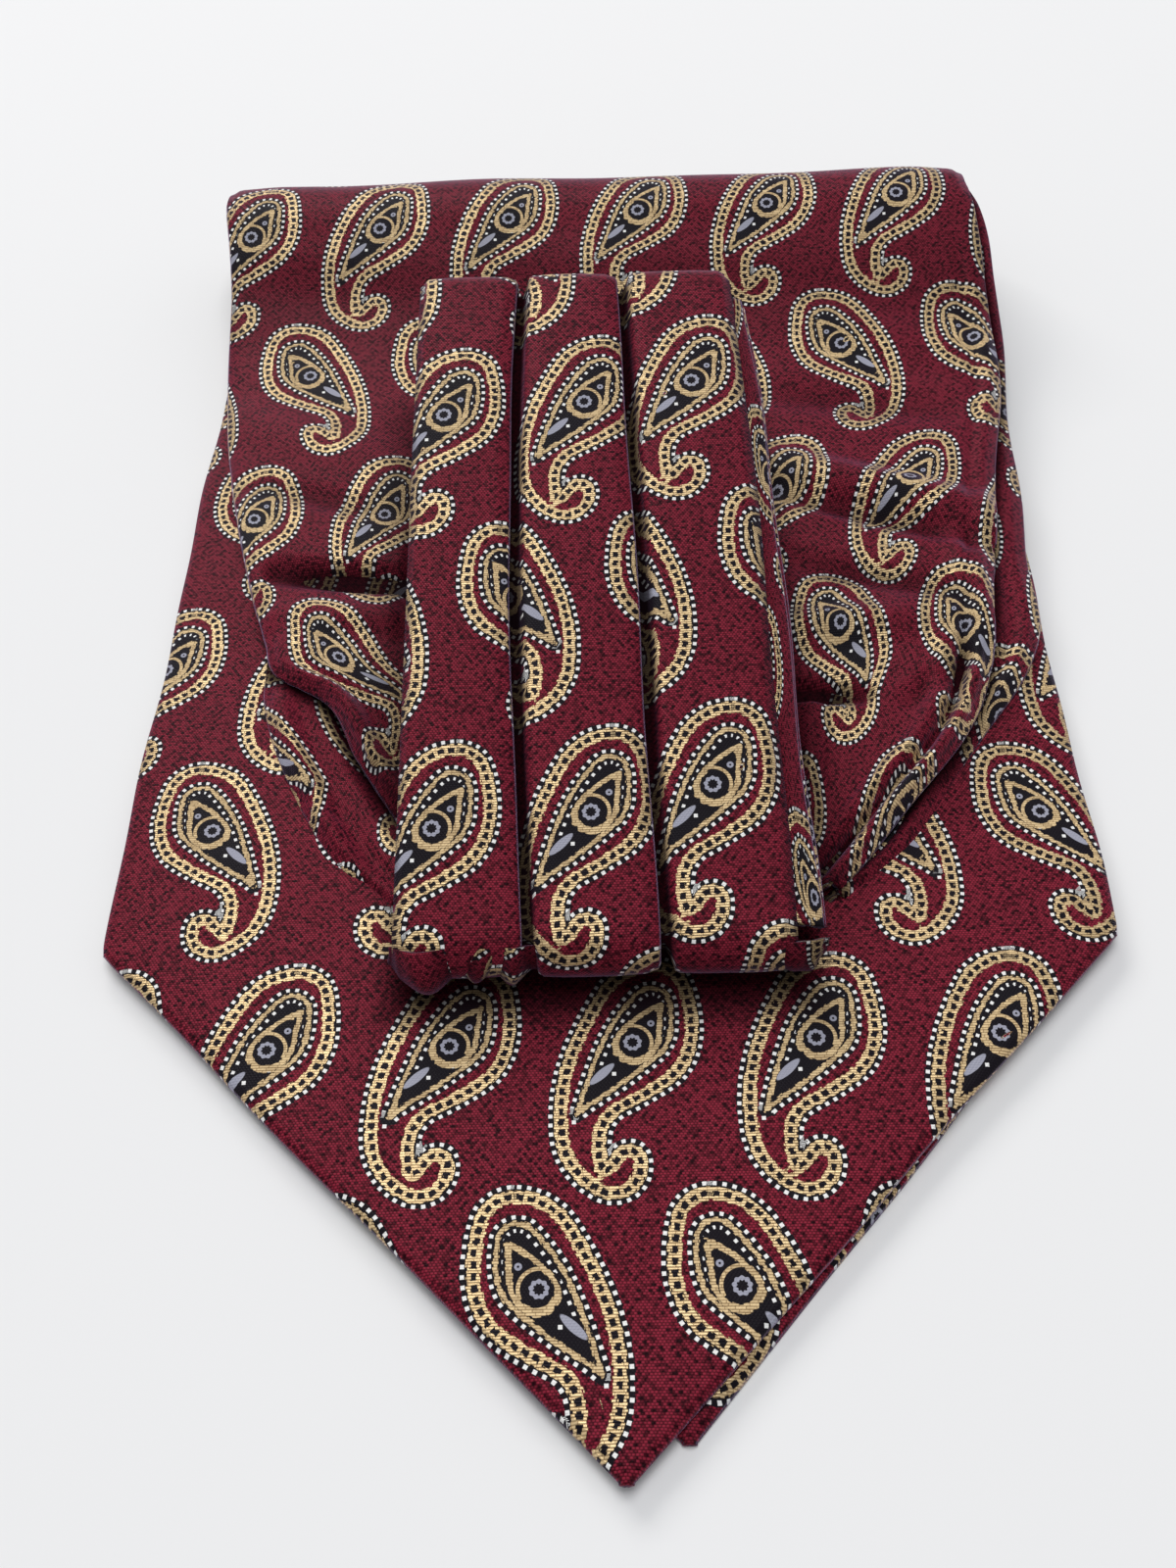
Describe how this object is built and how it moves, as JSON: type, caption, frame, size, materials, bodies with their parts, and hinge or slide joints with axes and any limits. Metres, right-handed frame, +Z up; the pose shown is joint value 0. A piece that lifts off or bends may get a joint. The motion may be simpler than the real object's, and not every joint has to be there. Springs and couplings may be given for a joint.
{
  "type": "silk cravat, folded",
  "caption": "Self-tie day cravat in silk jacquard, doubled and folded in three: pointed blades below, pleated neck band on top.",
  "frame": {"origin": "middle of the footprint, on the surface that the cravat lies on", "axes": "+Z up, out of the surface; the blades' points are towards -Y and the far fold towards +Y; +X to the right as seen from the points"},
  "size_m": [0.158, 0.258, 0.0411],
  "materials": {
    "jacquard_silk": "burgundy silk jacquard with a gold, black and white paisley, soft sheen"
  },
  "bodies": {
    "root": {"under_blade": "jacquard_silk", "upper_blade": "jacquard_silk", "folded_core": "jacquard_silk", "folded_stretch": "jacquard_silk", "band_core": "jacquard_silk", "pleat_left": "jacquard_silk", "pleat_middle": "jacquard_silk", "pleat_right": "jacquard_silk"}
  },
  "joints": []
}
